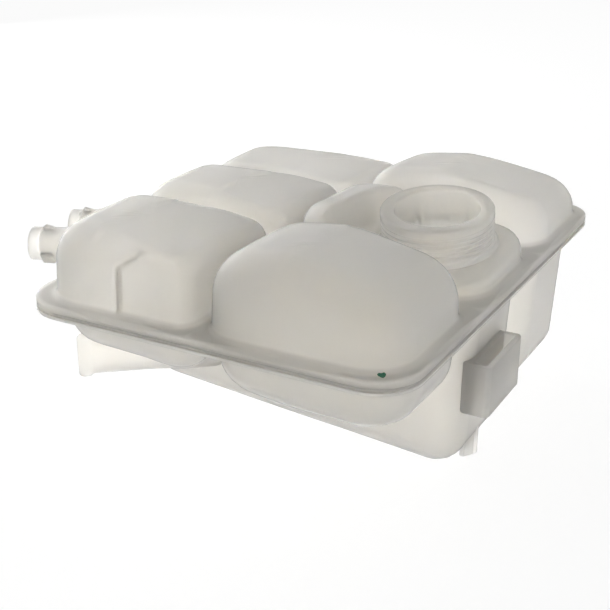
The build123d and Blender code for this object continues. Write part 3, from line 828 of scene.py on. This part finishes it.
top, bottom = -SOCKET_TOP, -SOCKET_TOP - SOCKET_HEIGHT
rows = [
    raised(outside(0), bottom + RIM_ROUND), raised(outside(0), top - RIM_ROUND),
    raised(outside(-RIM_BREAK), top - RIM_BREAK), raised(outside(-RIM_ROUND), top),
    raised(slot(RIM_ROUND), top), raised(slot(RIM_BREAK), top - RIM_BREAK),
    raised(slot(0), top - RIM_ROUND), raised(slot(0), bottom + RIM_ROUND),
    raised(slot(RIM_BREAK), bottom + RIM_BREAK), raised(slot(RIM_ROUND), bottom),
    raised(outside(-RIM_ROUND), bottom), raised(outside(-RIM_BREAK), bottom + RIM_BREAK),
]
mesh = bmesh.new()
stitch(mesh, rows + rows[:1], None)
bmesh.ops.remove_doubles(mesh, verts=mesh.verts[:], dist=0.001)
socket = placed("bracket_socket", mesh, polypropylene)
# painted shade over the whole sleeve
store_painted_shade(socket, lambda at: 1.0)

# Locating foot under the right end of the trough: a thin web with a round rib on its back edge, that drops
# into a rubber on the car body. It is moulded with the lower half.
FOOT_WIDTH, FOOT_WEB, FOOT_RIB = 18.0, 2.4, 2.2
FOOT_TOP, FOOT_BOTTOM, FOOT_LEAD = 72.0, 89.5, 5.5
FOOT_FROM_RIGHT, FOOT_FROM_FRONT = 6.0, 21.5
FOOT_TIP = 0.05
foot_x, foot_y = trough_right - FOOT_FROM_RIGHT, TROUGH_FRONT + HALF_GAP + FOOT_FROM_FRONT
web_back = foot_y + FOOT_WIDTH - 2 * FOOT_RIB
mesh = bmesh.new()
block(mesh, [
    (x, y, z)
    for x in (foot_x + FOOT_WEB / 2, foot_x - FOOT_WEB / 2)
    for y, z in (
        (foot_y, -FOOT_TOP), (foot_y, FOOT_LEAD - FOOT_BOTTOM),
        (web_back, -FOOT_BOTTOM), (web_back, -FOOT_TOP),
    )
])
right, back = np.array((1.0, 0.0, 0.0)), np.array((0.0, 1.0, 0.0))
rib_middle = np.array((foot_x, foot_y + FOOT_WIDTH - FOOT_RIB, 0.0))
turned(mesh, rib_middle, -up, right, back, [
    (FOOT_TOP, FOOT_TIP), (FOOT_TOP, FOOT_RIB), (FOOT_BOTTOM - RIM_ROUND, FOOT_RIB),
    (FOOT_BOTTOM - RIM_BREAK, FOOT_RIB - RIM_BREAK),
    (FOOT_BOTTOM, FOOT_RIB - RIM_ROUND), (FOOT_BOTTOM, FOOT_TIP),
])
placed("locating_foot", mesh, polypropylene)

# Studio: a white light table under the tank and a white room round it, brightest at the horizon, with a
# softbox on the left, so that light comes through the walls from all sides. The table glows, which leaves
# only a faint shadow on it.
FLOOR_HALF = 6.0
TABLE_GLOW, TABLE_WHITE = 1.0, 0.87
white = linear("#ffffff")
floor_z = cad_box[0].z
floor_data = bpy.data.meshes.new("floor")
floor_data.from_pydata(
    [(-FLOOR_HALF, -FLOOR_HALF, floor_z), (FLOOR_HALF, -FLOOR_HALF, floor_z),
     (FLOOR_HALF, FLOOR_HALF, floor_z), (-FLOOR_HALF, FLOOR_HALF, floor_z)], [], [(0, 1, 2, 3)],
)
floor = bpy.data.objects.new("floor", floor_data)
bpy.context.scene.collection.objects.link(floor)
table = bpy.data.materials.new("white_light_table")
table.use_nodes = True
tree = table.node_tree
tree.nodes.clear()


def background_ray(tree):
    """1 for the rays that show the white background: from the camera, a reflection or through a wall."""
    ray = node(tree, "ShaderNodeLightPath")
    mirrored = node(
        tree, "ShaderNodeMath", {0: ray.outputs["Is Camera Ray"], 1: ray.outputs["Is Glossy Ray"]},
        operation="MAXIMUM",
    )
    return node(
        tree, "ShaderNodeMath", {0: mirrored.outputs[0], 1: ray.outputs["Is Transmission Ray"]},
        operation="MAXIMUM",
    ).outputs[0]


glow = node(
    tree, "ShaderNodeMapRange", {"Value": background_ray(tree)}, To_Min=TABLE_GLOW, To_Max=TABLE_WHITE,
)
lit = node(tree, "ShaderNodeEmission", {"Strength": glow.outputs["Result"]}, Color=white)
matt = node(tree, "ShaderNodeBsdfDiffuse", Color=linear("#7d7d7d"))
both = node(tree, "ShaderNodeAddShader", {0: lit.outputs["Emission"], 1: matt.outputs["BSDF"]})
node(tree, "ShaderNodeOutputMaterial", {"Surface": both.outputs["Shader"]})
floor_data.materials.append(table)

ROOM_LOW, ROOM_HIGH, ROOM_FADE = 1.4, 0.2, 0.8
world = bpy.data.worlds.new("white_room")
bpy.context.scene.world = world
world.use_nodes = True
tree = world.node_tree
tree.nodes.clear()
direction = node(tree, "ShaderNodeTexCoord")
upward = node(tree, "ShaderNodeSeparateXYZ", {"Vector": direction.outputs["Generated"]})
fade = node(
    tree, "ShaderNodeMapRange", {"Value": upward.outputs["Z"]},
    From_Min=0.0, From_Max=ROOM_FADE, To_Min=ROOM_LOW, To_Max=ROOM_HIGH,
)
room = node(tree, "ShaderNodeBackground", {"Strength": fade.outputs["Result"]}, Color=white)
backdrop = node(tree, "ShaderNodeBackground", Color=white, Strength=1.0)
seen = node(
    tree, "ShaderNodeMixShader",
    {0: background_ray(tree), 1: room.outputs["Background"], 2: backdrop.outputs["Background"]},
)
node(tree, "ShaderNodeOutputWorld", {"Surface": seen.outputs["Shader"]})

LAMP_POWER, LAMP_SIZE = 11.0, 1.0
lamp_data = bpy.data.lights.new("softbox_left", "AREA")
lamp_data.size = LAMP_SIZE
lamp_data.energy = LAMP_POWER
lamp = bpy.data.objects.new("softbox_left", lamp_data)
bpy.context.scene.collection.objects.link(lamp)
towards = Vector((-1.1, 0.35, 0.3))
lamp.location = towards + (cad_box[0] + cad_box[1]) / 2
lamp.rotation_mode = "QUATERNION"
lamp.rotation_quaternion = (-towards).to_track_quat("-Z", "Y")
BOUNCES = 32
bpy.context.scene.cycles.max_bounces = BOUNCES
bpy.context.scene.cycles.diffuse_bounces = BOUNCES
bpy.context.scene.cycles.transmission_bounces = BOUNCES

# Camera at the height and side of the photograph, with a long portrait lens. Its place and aim were fitted
# to the outline of the tank there.
camera_data = bpy.data.cameras.new("camera")
camera_data.sensor_width = 36.0
camera_data.lens = 68.24
camera = bpy.data.objects.new("camera", camera_data)
bpy.context.scene.collection.objects.link(camera)
camera.location = (0.16038, -0.47700, 0.23004)
camera.rotation_mode = "QUATERNION"
camera.rotation_quaternion = Vector((-0.4456, 0.8073, -0.3868)).to_track_quat("-Z", "Y")
bpy.context.scene.camera = camera
bpy.context.scene.view_settings.view_transform = "Standard"
